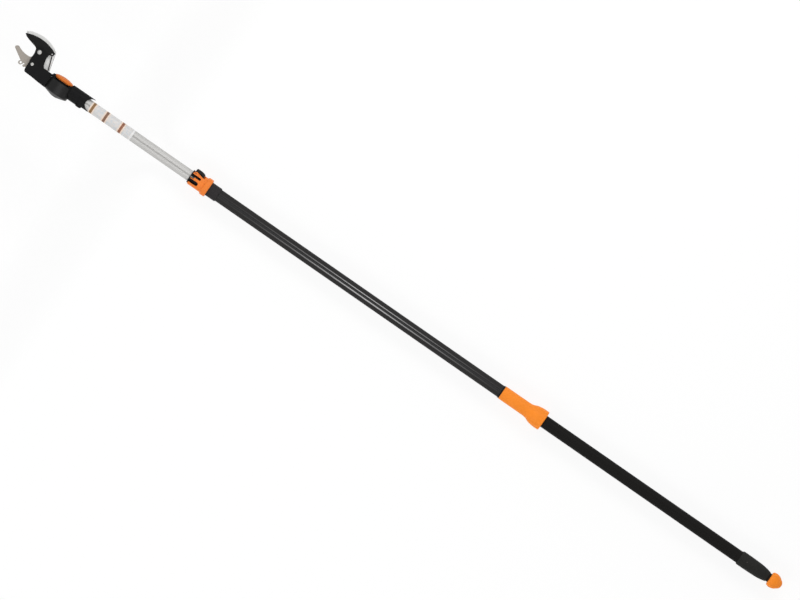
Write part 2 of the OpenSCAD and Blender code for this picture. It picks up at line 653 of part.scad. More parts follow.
module tilt_bolt() color([0.75, 0.75, 0.75]) union() {
    at_drum(dial_base - 6.5) cylinder(r = bolt_r, h = hub_bottom - 3 - dial_base + 6.5);
    at_drum(hub_bottom - 3) cylinder(r = 5.2, h = 3, $fn = 6);
}

// Head

module cheek_2d() union() {
    // boss round the blade pivot
    translate(bp) circle(r = 11.5);
    polygon([
        [34.2, -12], [60, -12.8], [62.2, -15.2], [64.2, -18.9], [66, -24], [67.4, -29.5], [68.4, -35],
        [68.7, -41], [67.8, -46], bp + [0, -11.4], bp + [11.4, 0], [102.5, -34.5], [101.8, -31],
        [101.5, -26],
        [101.5, -12], [100.6, -8], [99.8, -4], [99.6, 14], [98.9, 18], [97.4, 21], [94.6, 22.8], [74, 23.7],
        [53.6, 25.5], [34.2, 26.4]
    ]);
}

spacers = [[45, 20], [72, 18.6], [94, 17]];

module front_cheek() color([0.06, 0.06, 0.06]) difference() {
    union() {
        plate(front_z, cheek_t) cheek_2d();
        // pads that seat the hook
        head_cyl(rivet, hook_t / 2, front_z + 0.1, 6);
        head_cyl(sp, hook_t / 2, front_z + 0.1, 6);
    }
    head_cyl(bp, -20, 20, pin_r);
    head_cyl(rivet, -20, 20, 2.2);
    head_cyl(sp, -20, front_out - 1, pin_r);
    head_cyl(anchor, -20, front_out - 1, 1.1);
    for (s = spacers) head_cyl(s, -20, front_out - 0.9, 1.7);
}

module head_body() color([0.07, 0.07, 0.07]) difference() {
    union() {
        // rear cheek
        plate(rear_z, cheek_t) cheek_2d();
        // floor and neck of the housing
        plate(rear_z, front_z - rear_z - 0.05) polygon([
            [20, 20.6], [48, 20.6], [74, 19.6], [92, 19.4], [96.8, 16.6], [99.6, 15], [98.6, 19],
            [95, 22.6],
            [74, 23.7], [53.6, 25.5], [36, 26.4], [20, 26.4]
        ]);
        plate(rear_z, front_z - rear_z - 0.05) polygon([[20, -4.5], [37, -4.5], [37, 26.4], [20, 26.4]]);
        // hub with its shallow dome
        at_drum(0) rotate_extrude($fn = 96) polygon(concat(
            [[0, hub_top], [lap_r, hub_top], [lap_r, hub_top - lap_h], [hub_r, hub_top - lap_h]],
            [[hub_r, hub_bottom - 5], [hub_r - 1, hub_bottom - 2], [hub_r - 3.6, hub_bottom]],
            [[22, hub_bottom + 2.4], [12, hub_bottom + 5.2], [7.5, hub_bottom + 6.4],
            [5, hub_bottom + 6.7], [0, hub_bottom + 6.7]]
        ));
        // bosses of the spacer screws
        for (s = spacers) head_cyl(s, rear_z, front_z - 0.05, 3.1);
    }
    // hollow of the hub and way out for the strap
    at_drum(hub_top + 1) cylinder(r = hub_r - 3, h = 10);
    at_drum(hub_top - 1) cylinder(r = 8, h = 6);
    at_drum(hub_bottom - 3) cylinder(r = 5.25, h = 20, $fn = 6);
    at_drum(-60) cylinder(r = bolt_r + 0.02, h = 120);
    translate([drum_x, hub_top + 0.9, rear_z + cheek_t]) cube([60, 6, 8]);
    translate([drum_x + 34.4, -14, rear_z + cheek_t]) cube([26, 14, 8]);
    // clear of the socket's arm disc
    at_drum(-60) cylinder(r = hub_r + 0.9, h = 60 + hub_top - lap_h);
    at_drum(-60) cylinder(r = lap_r, h = 60 + hub_top);
    head_cyl(bp, -30, 30, pin_r);
    head_cyl(sp, -30, 30, pin_r);
    head_cyl(roller, rear_z - 1, front_z + 1, 1.5);
    for (s = spacers) head_cyl(s, -40, 40, 1.7);
}

lug_hole = [117.9, 8.7];
module hook() color([0.52, 0.49, 0.46]) difference() {
    plate(hook_z, hook_t) difference() {
        union() {
            polygon([
                [64, -4], [66, -14], [78, -22], [90, -24.5], [101.6, -24.5], [106, -27], [144.5, -27],
                    [144.8, -23.6],
                [147.6, -22.9], [150.8, -20.9], [152.6, -18.2], [152.2, -15.6], [150.2, -13.6],
                [120, 5.1], [122, 8],
                [114, 12], [110, 5], [102.5, 12], [99, 12], [80, 12], [68, 8]
            ]);
            // accessory lug and stop lug
            translate([118.6, 9.6]) circle(r = 5.4);
            translate([106.6, 11.4]) circle(r = 3.4);
        }
        // concave edge that holds the branch, rounded into the throat
        difference() {
            translate([114.5, -78.7]) circle(r = 63, $fn = 160);
            polygon([
                [90, -24.5], [101.6, -24.5], [101.9, -22], [102.6, -20], [103.8, -18.3], [105.6, -17],
                    [108.5, -16],
                [108.5, -8], [90, -8]
            ]);
        }
        translate(bp) circle(r = 17);
    }
    head_cyl(sp, -20, 20, pin_r);
    head_cyl(rivet, -20, 20, 2.2);
    head_cyl(lug_hole, -20, 20, 3);
}

module hook_rivet() color([0.4, 0.4, 0.4]) union() {
    head_cyl(rivet, hook_z, front_out, 2.18);
    translate([drum_x + rivet[0], rivet[1], front_out]) rotate_extrude($fn = 48) polygon([
        [0, 0], [4.35, 0], [4.35, 0.7], [3.8, 1.4], [2.6, 1.8], [0, 1.9]
    ]);
}

module blade_pin() color([0.35, 0.35, 0.35]) union() {
    head_cyl(bp, rear_z - 1.2, front_out, pin_r - pin_fit / 2);
    translate([drum_x + bp[0], bp[1], front_out]) rotate_extrude($fn = 48) polygon([
        [0, 0], [5.9, 0], [5.9, 0.9], [5.2, 1.7], [3.6, 2.2], [0, 2.4]
    ]);
    head_cyl(bp, rear_z - 2.4, rear_z, 5);
}

module lever_pin_bolt() color([0.35, 0.35, 0.35]) union() {
    head_cyl(sp, rear_z - 1.2, front_out - 1.1, pin_r - pin_fit / 2);
    head_cyl(sp, rear_z - 2, rear_z, 4.6);
}

module spacer_screws() color([0.2, 0.2, 0.2]) for (s = spacers) {
    head_cyl(s, rear_z + 1, front_out - 1, 1.68);
    difference() {
        head_cyl(s, rear_z - 1.4, rear_z, 3);
        head_cyl(s, rear_z - 2, rear_z - 0.6, 1.3);
    }
    head_cyl(s, rear_z - 0.1, rear_z + 1.1, 1.68);
}

module cord_roller() color([0.7, 0.7, 0.7]) difference() {
    head_cyl(roller, lever_mid - cord_r - 0.8, lever_mid + cord_r + 0.8, roller_r);
    head_cyl(roller, -30, 30, 1.52);
}

module roller_pin() color([0.8, 0.8, 0.8]) head_cyl(roller, rear_z, front_z - 0.1, 1.48);

module anchor_pin() color([0.7, 0.7, 0.7]) union() {
    head_cyl(anchor, spring_z - 1.5, front_out - 1.1, 1.08);
    head_cyl(anchor, spring_z - 2, spring_z - 1.5, 1.7);
}

// Blade and lever

module blade() color([0.05, 0.05, 0.05]) difference() {
    union() {
        plate(blade_z, blade_t) union() {
            intersection() {
                translate([104.7, 34.8]) circle(r = 105, $fn = 200);
                polygon([
                    [ear[0] - 8, ear[1] - 30], [160, -90], [149.4, -59.5], [143, -54.6], [133, -51.2],
                        [112, -46],
                    [107.6, -44.4], [105.4, -42.4], [104, -39.6], bp + [9, 5], bp + [-8, 9], [70.5, -38],
                        [69.6, -44.5], [67.4, -48], [ear[0], -48.7], [ear[0] - 5, ear[1]]
                ]);
            }
            translate(bp) circle(r = 12);
            translate(ear) circle(r = 5);
        }
        // hub and gear behind the hook
        head_cyl(bp, lever_z, blade_z + 0.1, 9);
        plate(lever_z, lever_t) translate(bp) union() {
            circle(r = gear_m * blade_teeth / 2 - 1.15 * gear_m);
            for (k = [-3 : 0]) polygon(tooth(blade_teeth, gear_m, pivot_lean + (k + 0.5)
                * 360 / blade_teeth, 0.36));
        }
    }
    head_cyl(bp, -30, 30, pin_r + pin_fit);
    head_cyl(ear, -30, blade_z + blade_t - 0.8, 1.1);
}

module ear_pin() color([0.6, 0.6, 0.6]) union() {
    head_cyl(ear, spring_z - 1.5, blade_z + blade_t - 0.85, 1.08);
    head_cyl(ear, spring_z - 2, spring_z - 1.5, 1.7);
}

module lever() color([0.75, 0.75, 0.74]) difference() {
    union() {
        plate(lever_z, lever_t) union() {
            translate(sp) circle(r = gear_m * lever_teeth / 2 - 1.15 * gear_m);
            translate(sp) for (k = [-1 : 3])
                polygon(tooth(lever_teeth, gear_m, pivot_lean + 180 + k * 360 / lever_teeth, 0.36));
            polygon([
                sp + [-10, 12], [50, -5], [47.4, -13], [49.1, -21], [51.6, -29.6], [54.3, -40],
                [56.4, -50], corner + [1.9, 1.4],
                corner + [1.9, -0.6], corner + [4, -5.6], rim_c + (rim_r - 3) * [cos(rim_a0), sin(rim_a0)],
                [70, -69.4], [73.5, -62], [73.2, -50], [74.2, -39.6], [74.6, -31], sp + [-4, -16], sp
            ]);
        }
        // cord rim
        translate([drum_x, 0, lever_mid - rim_w / 2]) linear_extrude(rim_w) intersection() {
            difference() {
                translate(rim_c) circle(r = rim_r, $fn = 200);
                translate(rim_c) circle(r = rim_r - 11, $fn = 200);
            }
            polygon(concat([rim_c], arc(rim_c, rim_r * 1.3, rim_a0, rim_a1, 6)));
        }
    }
    // cord groove round the rim
    translate([drum_x, 0, lever_mid - cord_r - 0.25]) linear_extrude(cord_d + 0.5) difference() {
        translate(rim_c) circle(r = rim_r + 5, $fn = 200);
        translate(rim_c) circle(r = rim_cord_r - cord_r - 0.15, $fn = 200);
        translate(rim_c) polygon([[0, 0], 200 * [cos(rim_a1 - 3), sin(rim_a1 - 3)],
            200 * [cos(rim_a1 + 40), sin(rim_a1 + 40)]]);
    }
    head_cyl(sp, -30, 30, pin_r + pin_fit);
    head_cyl(cord_hole, -30, 30, 1.2);
}

cord_hole = rim_c + (rim_r - 4) * [cos(rim_a1 - 2.2), sin(rim_a1 - 2.2)];
module cord_rivet() color([0.6, 0.6, 0.6]) union() {
    head_cyl(cord_hole, lever_mid - rim_w / 2, lever_mid + rim_w / 2, 1.18);
    head_cyl(cord_hole, lever_mid + rim_w / 2, lever_mid + rim_w / 2 + 0.6, 2);
    head_cyl(cord_hole, lever_mid - rim_w / 2 - 0.6, lever_mid - rim_w / 2, 2);
}

// Return spring from the anchor pin to the blade's ear
spring_z = blade_z - 2.4;
wire_r = 0.35;
coil_r = 1.2;
coils = 26;
spring_v = ear - anchor;
spring_len = norm(spring_v);
spring_u = unit(spring_v);
spring_n = [-spring_u[1], spring_u[0]];
hook_r = 1.1 + wire_r + 0.12;
coil_from = 6;
coil_to = spring_len - 6;
function on_spring(t, s, z) = [
    drum_x + anchor[0] + spring_u[0] * t + spring_n[0] * s,
    anchor[1] + spring_u[1] * t + spring_n[1] * s,
    spring_z + z
];
function spring_path() = concat(
    [for (i = [0 : 7]) let (a = -60 - 30 * i) on_spring(hook_r * cos(a), hook_r * sin(a), 0)],
    [on_spring(coil_from - 1.6, coil_r * 0.92, 0)],
    [for (i = [0 : coils * 8]) let (a = 90 - 45 * i)
        on_spring(coil_from + (coil_to - coil_from) * i / (coils * 8), coil_r * sin(a), coil_r * cos(a))],
    [on_spring(coil_to + 1.6, coil_r * 0.92, 0)],
    [for (i = [0 : 7]) let (a = 90 - 30 * i) on_spring(spring_len + hook_r * cos(a), hook_r * sin(a), 0)]
);
spring_points = spring_path();
function turn(p, i) = unit(p[min(i + 1, len(p) - 1)] - p[max(i - 1, 0)]);
// A round bar of m sides along points, its seam held by a reference direction
module tube(p, r, axis, m) {
    n = len(p);
    ring = [for (i = [0 : n - 1])
        let (t = turn(p, i))
        let (ref = abs(t * axis) > 0.9 ? [0, 0, 1] : axis)
        let (a = unit(cross(t, ref)), b = cross(t, a))
        [for (j = [0 : m - 1]) p[i] + r * (cos(360 / m * j) * a + sin(360 / m * j) * b)]];
    pts = [for (q = ring) each q];
    sides = [for (i = [0 : n - 2]) for (j = [0 : m - 1])
        each [
            [m * i + j, m * i + m + (j + 1) % m, m * i + (j + 1) % m],
            [m * i + j, m * i + m + j, m * i + m + (j + 1) % m]
        ]];
    e = m * (n - 1);
    caps = [for (j = [1 : m - 2]) each [[0, j, j + 1], [e, e + j + 1, e + j]]];
    polyhedron(pts, concat(sides, caps));
}
spring_gap = min([for (i = [0 : len(spring_points) - 7]) for (j = [i + 6 : len(spring_points) - 1])
    norm(spring_points[i] - spring_points[j])]) - 2 * wire_r;
echo(least_spring_gap = spring_gap);

module return_spring() color([0.3, 0.3, 0.3]) tube(spring_points, wire_r, [spring_u[0], spring_u[1], 0], 6);

outer_tube();
stop_ring();
ferrule();
ferrule_rivets();
clamp_collar();
strap_bar();
split_bush();
lever_pin_steel();
cam_lever();
butt_grip();
grip_pin();
end_knob();
knob_neck();
knob_cord();
slide_handle();
strap_clamp();
strap_drive();
strap_turn();
strap_groove();
strap_mast();
cord_head();
cord_span();
cord_rim();
inner_tube();
tube_label();
mast_foot();
foot_rivets();
foot_roller();
foot_axle();
head_socket();
socket_screw();
strap_spool();
tilt_dial();
tilt_nut();
tilt_bolt();
front_cheek();
head_body();
hook();
hook_rivet();
blade_pin();
lever_pin_bolt();
spacer_screws();
cord_roller();
roller_pin();
anchor_pin();
blade();
ear_pin();
lever();
cord_rivet();
return_spring();
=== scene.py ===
# Looks of the tree pruner pole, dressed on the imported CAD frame. Metres, in the CAD frame:
# X runs along the pole towards the head, -Y is the blade side, +Z faces the camera.
import json
import math

import bmesh
import bpy
from mathutils import Matrix, Vector


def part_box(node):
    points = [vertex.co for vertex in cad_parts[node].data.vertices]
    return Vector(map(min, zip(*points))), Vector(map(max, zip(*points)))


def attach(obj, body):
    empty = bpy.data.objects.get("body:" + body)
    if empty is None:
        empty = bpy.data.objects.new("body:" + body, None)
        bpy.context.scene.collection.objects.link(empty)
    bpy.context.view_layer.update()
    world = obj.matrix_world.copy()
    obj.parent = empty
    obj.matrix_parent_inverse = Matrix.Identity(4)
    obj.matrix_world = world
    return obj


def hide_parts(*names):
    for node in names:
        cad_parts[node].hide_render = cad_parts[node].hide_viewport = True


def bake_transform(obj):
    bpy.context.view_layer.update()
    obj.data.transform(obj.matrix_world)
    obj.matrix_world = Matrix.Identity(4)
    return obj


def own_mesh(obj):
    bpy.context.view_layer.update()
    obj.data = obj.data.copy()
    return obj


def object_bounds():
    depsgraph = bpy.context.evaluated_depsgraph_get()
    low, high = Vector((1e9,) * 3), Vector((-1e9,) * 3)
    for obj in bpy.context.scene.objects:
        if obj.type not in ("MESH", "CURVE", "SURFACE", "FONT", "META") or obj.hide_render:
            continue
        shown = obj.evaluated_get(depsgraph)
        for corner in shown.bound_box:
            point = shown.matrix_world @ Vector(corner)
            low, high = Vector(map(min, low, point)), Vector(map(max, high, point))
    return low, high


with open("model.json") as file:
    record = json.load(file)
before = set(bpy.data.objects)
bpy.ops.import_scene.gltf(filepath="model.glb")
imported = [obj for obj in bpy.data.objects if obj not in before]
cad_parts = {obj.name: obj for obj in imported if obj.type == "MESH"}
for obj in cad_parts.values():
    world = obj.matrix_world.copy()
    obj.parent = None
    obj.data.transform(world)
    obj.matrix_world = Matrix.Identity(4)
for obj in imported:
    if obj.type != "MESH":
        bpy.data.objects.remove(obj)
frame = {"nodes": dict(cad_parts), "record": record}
cad_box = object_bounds()
nodes = frame["nodes"]
scene = bpy.context.scene
MM = 0.001
UP, DOWN, SIDE = Vector((0, 0, 1)), Vector((0, 0, -1)), Vector((0, 1, 0))


# Sizes repeated from the part's source, in millimetres

# slide handle, ferrule, and the bar that turns the strap in the collar
HANDLE_END = -443.0
FERRULE_X = 439.0
BAR_X, BAR_Z, BAR_R = 480.0, 16.6, 1.2
# strap: its section, and its levels in the tube's channel, in the mast's groove and in the mast
STRAP_W, STRAP_T = 3.2, 0.7
OUT_Z, IN_Z, MAST_STRAP_Z = 16.07, 13.05, 4.05
# roller in the mast's foot
FOOT_X, FOOT_Z, FOOT_R = -1068.0, 8.55, 4.1
# spool on the tilt axis, and the guide before it, which has its place in X and Z from that axis
DRUM_X = 929.5
SPOOL_Y, SPOOL_BIG_R = -9.25, 22.0
SPOOL_CORD_Y, SPOOL_SMALL_R = -1.7, 5.0
GUIDE = (-52.0, -3.0)
# head cord, with its places in X and Y from the tilt axis, and the lever's rim from end to end
CORD_R, CORD_Z = 1.2, -5.7
ROLLER, ROLLER_TURN = (38.9, -6.2), 4.26
CORNER = (56.4, -56.6)
RIM_C, RIM_CORD_R = (107.2, 10.2), 87.2
RIM_A0, RIM_A1 = -119.1, -60.5
# return spring from its anchor pin to the blade's corner pin, with its places as the cord's
ANCHOR, EAR, SPRING_Z = (45.5, -8.4), (62.5, -53.6), 0.3
PIN_R, COIL_R, COILS = 1.1, 1.2, 26

# Sizes of the finishes, in millimetres

# edge wear of plastic and metal, which on plastic is partly a painted highlight, their rounding, and the
# depth of moulded grain and of drawing lines
WEAR_AND_SHEEN, ROUND, GRAIN = 0.9, 0.5, 0.06
METAL_WEAR, METAL_ROUND, DRAWN = 0.4, 0.3, 0.04
# the head's body is smoother on the hub's side of this place
HUB_SEAM_X = 964.5
# the ridge that a mould leaves: half its width, and its height
SEAM_HALF, SEAM_HEIGHT = 0.5, 0.4
# the radii of the dial's rings, and how far to each side a ring fades and is full
DIAL_RINGS = (11.0, 17.5)
RING_HALF = (0.9, 0.3)
# the painted highlights along the tube's channel rims in Y: each edge from where the highlight starts to
# where it is full
LEFT_RIM = ((2.4, 3.4), (6.2, 5.2))
RIGHT_RIM = ((-3.6, -4.2), (-6.4, -5.4))
# the painted highlights are only high on the tube, and brightest round this place along it
HIGHLIGHT_Z = (10.0, 13.0)
HIGHLIGHT_X, HIGHLIGHT_REACH = -20.0, (440.0, 40.0)
# the label's pale edge, and its stripes with their inks
LABEL_EDGE_X, LABEL_EDGE_HALF = 708.2, (2.6, 1.6)
STRIPE_HALF, STRIPE_HALO = 3.7, 5.5
STRIPES = ((740.2, (126, 76, 52)), (788.6, (112, 78, 58)), (829.0, (120, 87, 48)))
# the strap's weave
PICK_PITCH, RIB_PITCH = 1.1, 0.8


# Materials

MATERIALS = {}


def srgb(r, g, b):
    def lin(c):
        c /= 255.0
        return c / 12.92 if c <= 0.04045 else ((c + 0.055) / 1.055) ** 2.4
    return (lin(r), lin(g), lin(b), 1.0)


def shade(c, k):
    """A colour made lighter or darker by a factor."""
    return (min(1, c[0] * k), min(1, c[1] * k), min(1, c[2] * k), 1.0)


class Nodes:
    """Short forms for making and linking the nodes of a tree."""

    def __init__(self, tree):
        self.tree = tree

    def node(self, kind, **values):
        n = self.tree.nodes.new(kind)
        for key, value in values.items():
            setattr(n, key, value)
        return n

    def link(self, a, b):
        self.tree.links.new(a, b)

    def feed(self, socket, value):
        """A constant goes on the socket itself, and anything else is linked to it."""
        if isinstance(value, (int, float, tuple)):
            socket.default_value = value
        else:
            self.link(value, socket)

    def math(self, op, a, b=None):
        m = self.node("ShaderNodeMath", operation=op)
        self.feed(m.inputs[0], a)
        if b is not None:
            self.feed(m.inputs[1], b)
        return m.outputs[0]

    def span(self, value, lo, hi, out_lo, out_hi):
        """The range from lo to hi carried to the range from out_lo to out_hi, and held at its ends."""
        m = self.node("ShaderNodeMapRange")
        keys = ("Value", "From Min", "From Max", "To Min", "To Max")
        for key, x in zip(keys, (value, lo, hi, out_lo, out_hi)):
            self.feed(m.inputs[key], x)
        return m.outputs["Result"]

    def sees_white(self):
        """1 for camera, glossy and transmission rays, which all see the white background."""
        path = self.node("ShaderNodeLightPath")
        either = self.math("MAXIMUM", path.outputs["Is Camera Ray"], path.outputs["Is Glossy Ray"])
        return self.math("MAXIMUM", either, path.outputs["Is Transmission Ray"])


class Shader(Nodes):
    """A principled material with helpers for procedural detail in object coordinates."""

    def __init__(self, name, rough, metallic=0.0, spec=0.5, coat=0.0, coat_rough=0.1):
        material = bpy.data.materials.new(name)
        material.use_nodes = True
        MATERIALS[name] = material
        super().__init__(material.node_tree)
        self.bsdf = self.tree.nodes["Principled BSDF"]
        for key, value in (("Roughness", rough), ("Metallic", metallic), ("Specular IOR Level", spec),
                           ("Coat Weight", coat), ("Coat Roughness", coat_rough)):
            self.bsdf.inputs[key].default_value = value
        self.coord = self.node("ShaderNodeTexCoord").outputs["Object"]

    def axis(self, i):
        parts = self.node("ShaderNodeSeparateXYZ")
        self.link(self.coord, parts.inputs[0])
        return parts.outputs[i]

    def noise(self, scale, detail=3.0, rough=0.55, vector=None):
        n = self.node("ShaderNodeTexNoise")
        n.inputs["Scale"].default_value = scale
        n.inputs["Detail"].default_value = detail
        n.inputs["Roughness"].default_value = rough
        self.link(vector or self.coord, n.inputs["Vector"])
        return n.outputs["Fac"]

    def blotches(self):
        return self.noise(38.0, 4.0)

    def streaks(self, scale, detail=5.0, turn=(0, 0, 0)):
        """Noise drawn out along the axis that has the smallest scale."""
        m = self.node("ShaderNodeMapping")
        m.inputs["Scale"].default_value = scale
        m.inputs["Rotation"].default_value = turn
        self.link(self.coord, m.inputs["Vector"])
        return self.noise(1.0, detail, 0.6, m.outputs["Vector"])

    def ramp(self, fac, *stops):
        r = self.node("ShaderNodeValToRGB")
        ends = r.color_ramp.elements
        ends[0].position, ends[0].color = stops[0]
        ends[1].position, ends[1].color = stops[-1]
        for place, colour in stops[1:-1]:
            ends.new(place).color = colour
        self.link(fac, r.inputs["Fac"])
        return r.outputs["Color"]

    def mix(self, fac, a, b):
        m = self.node("ShaderNodeMix", data_type="RGBA")
        fac_socket, a_socket, b_socket = (m.inputs[i] for i in (0, 6, 7))
        self.feed(fac_socket, fac)
        self.feed(a_socket, a)
        self.feed(b_socket, b)
        return m.outputs[2]

    def product(self, first, *rest):
        for x in rest:
            first = self.math("MULTIPLY", first, x)
        return first

    def away(self, value, place):
        """How far a value is from a place that is given in millimetres."""
        return self.math("ABSOLUTE", self.math("SUBTRACT", value, place * MM))

    def fade(self, value, none, full, strength=1.0):
        """0 at one place in millimetres, rising to the strength at another."""
        return self.span(value, none * MM, full * MM, 0.0, strength)

    def mottle(self, fac, lo, hi):
        """The middle of a noise, carried to a range."""
        return self.span(fac, 0.3, 0.7, lo, hi)

    def rounded(self, radius, samples=4):
        """Normals of edges rounded to a radius in millimetres."""
        bevel = self.node("ShaderNodeBevel", samples=samples)
        bevel.inputs["Radius"].default_value = radius * MM
        return bevel.outputs["Normal"]

    def edges(self, radius):
        """1 along sharp edges, 0 on the flats."""
        facing = self.node("ShaderNodeVectorMath", operation="DOT_PRODUCT")
        self.link(self.rounded(radius, 6), facing.inputs[0])
        self.link(self.node("ShaderNodeNewGeometry").outputs["Normal"], facing.inputs[1])
        return self.span(self.math("SUBTRACT", 1.0, facing.outputs["Value"]), 0.02, 0.25, 0.0, 1.0)

    def raised(self, height, strength, depth, under=None):
        """Normals of a relief, its depth in millimetres, over other normals."""
        b = self.node("ShaderNodeBump")
        b.inputs["Strength"].default_value = strength
        b.inputs["Distance"].default_value = depth * MM
        self.link(height, b.inputs["Height"])
        if under is not None:
            self.link(under, b.inputs["Normal"])
        return b.outputs["Normal"]

    def mould_seam(self, under):
        """Normals with the ridge where two mould halves meet, in the plane of the pole's axis."""
        ridge = self.fade(self.away(self.axis(2), 0.0), SEAM_HALF, 0.0)
        return self.raised(ridge, 0.7, SEAM_HEIGHT, under)

    def finish(self, colour, rough, normal):
        """A roughness of None leaves the constant that the shader was made with."""
        self.link(colour, self.bsdf.inputs["Base Color"])
        self.link(normal, self.bsdf.inputs["Normal"])
        if rough is not None:
            self.link(rough, self.bsdf.inputs["Roughness"])


def plastic(name, c, rough, spec, grain, relief, vary, edge, seam=False):
    """Grained plastic: vary is how far its colour wanders, and edge how much lighter its edges are (wear
    and painted highlight).
    """
    s = Shader(name, rough, 0.0, spec)
    tone = s.ramp(s.blotches(), (0.3, shade(c, 1 - vary)), (0.7, shade(c, 1 + vary)))
    # lighter edges: edge wear and a painted highlight
    worn_and_lit = s.mix(s.edges(WEAR_AND_SHEEN), tone, shade(c, 1 + edge))
    under = s.rounded(ROUND)
    if seam:
        under = s.mould_seam(under)
    s.finish(worn_and_lit, s.mottle(s.noise(90.0), rough - 0.06, rough + 0.06),
             s.raised(s.noise(grain, 2.0), relief, GRAIN, under))


def metal(name, c, rough, along, vary, relief, metallic, spec=0.5, edge=0.0):
    """Drawn or ground metal: along is the scale of its lines on each axis."""
    s = Shader(name, rough, metallic, spec)
    line = s.streaks(along)
    dark, light = shade(c, 1 - vary), shade(c, 1 + vary)
    blotch = s.ramp(s.noise(24.0, 4.0), (0.35, dark), (0.65, light))
    tone = s.mix(0.4, s.ramp(line, (0.25, dark), (0.75, light)), blotch)
    if edge:
        tone = s.mix(s.edges(METAL_WEAR), tone, shade(c, 1 + edge))
    s.finish(tone, s.mottle(line, rough - 0.05, rough + 0.08),
             s.raised(line, relief, DRAWN, s.rounded(METAL_ROUND)))


def hub_material():
    """Moulded black of the head's body: grained on the frame, smoother round the tilt hub."""
    s = Shader("hub_plastic", 0.45, 0.0, 0.2)
    hub = s.fade(s.axis(0), HUB_SEAM_X + 1, HUB_SEAM_X - 1)
    tone = s.ramp(s.blotches(), (0.3, srgb(15, 15, 15)), (0.7, srgb(19, 19, 19)))
    # lighter edges: edge wear and a painted highlight
    worn_and_lit = s.mix(s.edges(WEAR_AND_SHEEN), tone, srgb(44, 44, 44))
    rough = s.math("ADD", s.span(hub, 0.0, 1.0, 0.52, 0.38), s.mottle(s.noise(90.0), -0.04, 0.04))
    grain = s.product(s.noise(1900.0, 2.0), s.span(hub, 0.0, 1.0, 1.0, 0.4))
    s.finish(worn_and_lit, rough, s.raised(grain, 0.22, GRAIN, s.rounded(ROUND)))


def dial_material():
    """Orange dial with two turned rings in its face, grooves darkened with painted shade."""
    s = Shader("dial_orange", 0.44, 0.0, 0.14)
    x = s.math("SUBTRACT", s.axis(0), DRUM_X * MM)
    z = s.axis(2)
    r = s.math("SQRT", s.math("ADD", s.product(x, x), s.product(z, z)))
    rings = s.math("ADD", *[s.fade(s.away(r, at), *RING_HALF) for at in DIAL_RINGS])
    tone = s.ramp(s.blotches(), (0.3, srgb(204, 109, 41)), (0.7, srgb(212, 115, 43)))
    # lighter edges: edge wear and a painted highlight
    worn_and_lit = s.mix(s.edges(WEAR_AND_SHEEN), tone, srgb(222, 126, 56))
    # painted shade in the grooves of the two rings
    ring_shaded = s.mix(s.product(rings, 0.35), worn_and_lit, srgb(150, 76, 28))
    relief = s.math("SUBTRACT", s.product(s.noise(2400.0, 2.0), 0.02), rings)
    s.finish(ring_shaded, s.mottle(s.noise(90.0), 0.38, 0.50), s.raised(relief, 0.8, 0.4, s.rounded(ROUND)))


def tube_material():
    """Black anodised tube with fine drawing lines. Above the handle it has a painted sheen, and painted
    highlights on its channel's rims.
    """
    s = Shader("black_tube", 0.45, 0.0, 0.04)
    x, y, z = (s.axis(i) for i in range(3))
    line = s.streaks((3.0, 700.0, 700.0))
    low = s.ramp(line, (0.25, srgb(21, 20, 19)), (0.75, srgb(27, 26, 25)))
    # painted sheen: a lighter copy of the tube's black, used above the handle
    high = s.ramp(line, (0.25, srgb(40, 39, 39)), (0.75, srgb(48, 47, 47)))
    above = s.fade(x, HANDLE_END - 3, HANDLE_END + 3)
    left = s.product(s.fade(y, *LEFT_RIM[0]), s.fade(y, *LEFT_RIM[1]))
    right = s.product(s.fade(y, *RIGHT_RIM[0], 0.9), s.fade(y, *RIGHT_RIM[1]))
    rims = s.product(s.math("ADD", left, right), s.fade(z, *HIGHLIGHT_Z))
    middle = s.fade(s.away(x, HIGHLIGHT_X), *HIGHLIGHT_REACH)
    highlight_strength = s.span(s.product(middle, middle), 0.0, 1.0, 0.03, 0.95)
    patchy = s.span(s.streaks((14.0, 240.0, 240.0), 4.0), 0.25, 0.6, 0.75, 1.0)
    # painted highlight along the channel's rims above the handle, brightest midway between handle and
    # ferrule, in the pale grey below
    painted_highlight = s.product(rims, highlight_strength, patchy, above)
    tone = s.mix(painted_highlight, s.mix(above, low, high), srgb(184, 183, 183))
    s.finish(tone, s.mottle(line, 0.40, 0.52), s.raised(line, 0.06, DRAWN, s.rounded(METAL_ROUND)))


def label_material():
    """Pale film sleeve with plain stripes in soft haloes, a pale edge line and a soft print grain."""
    s = Shader("label", 0.38, 0.0, 0.25, 0.12, 0.15)
    x = s.axis(0)
    tone = s.ramp(s.noise(150.0), (0.3, srgb(192, 199, 205)), (0.5, srgb(206, 205, 204)),
                  (0.7, srgb(216, 209, 204)))
    for at, c in STRIPES:
        d = s.away(x, at)
        halo = s.fade(d, STRIPE_HALF + STRIPE_HALO, STRIPE_HALF, 0.7)
        stripe = s.fade(d, STRIPE_HALF, STRIPE_HALF - 0.4)
        ink = s.ramp(s.noise(240.0), (0.3, srgb(*c)), (0.7, srgb(*[q + 18 for q in c])))
        tone = s.mix(stripe, s.mix(halo, tone, srgb(240, 206, 176)), ink)
    edge = s.fade(s.away(x, LABEL_EDGE_X), *LABEL_EDGE_HALF, 0.8)
    tone = s.mix(edge, tone, srgb(226, 226, 226))
    s.finish(tone, s.mottle(s.noise(120.0), 0.32, 0.44), s.raised(s.noise(900.0, 2.0), 0.05, 0.03))


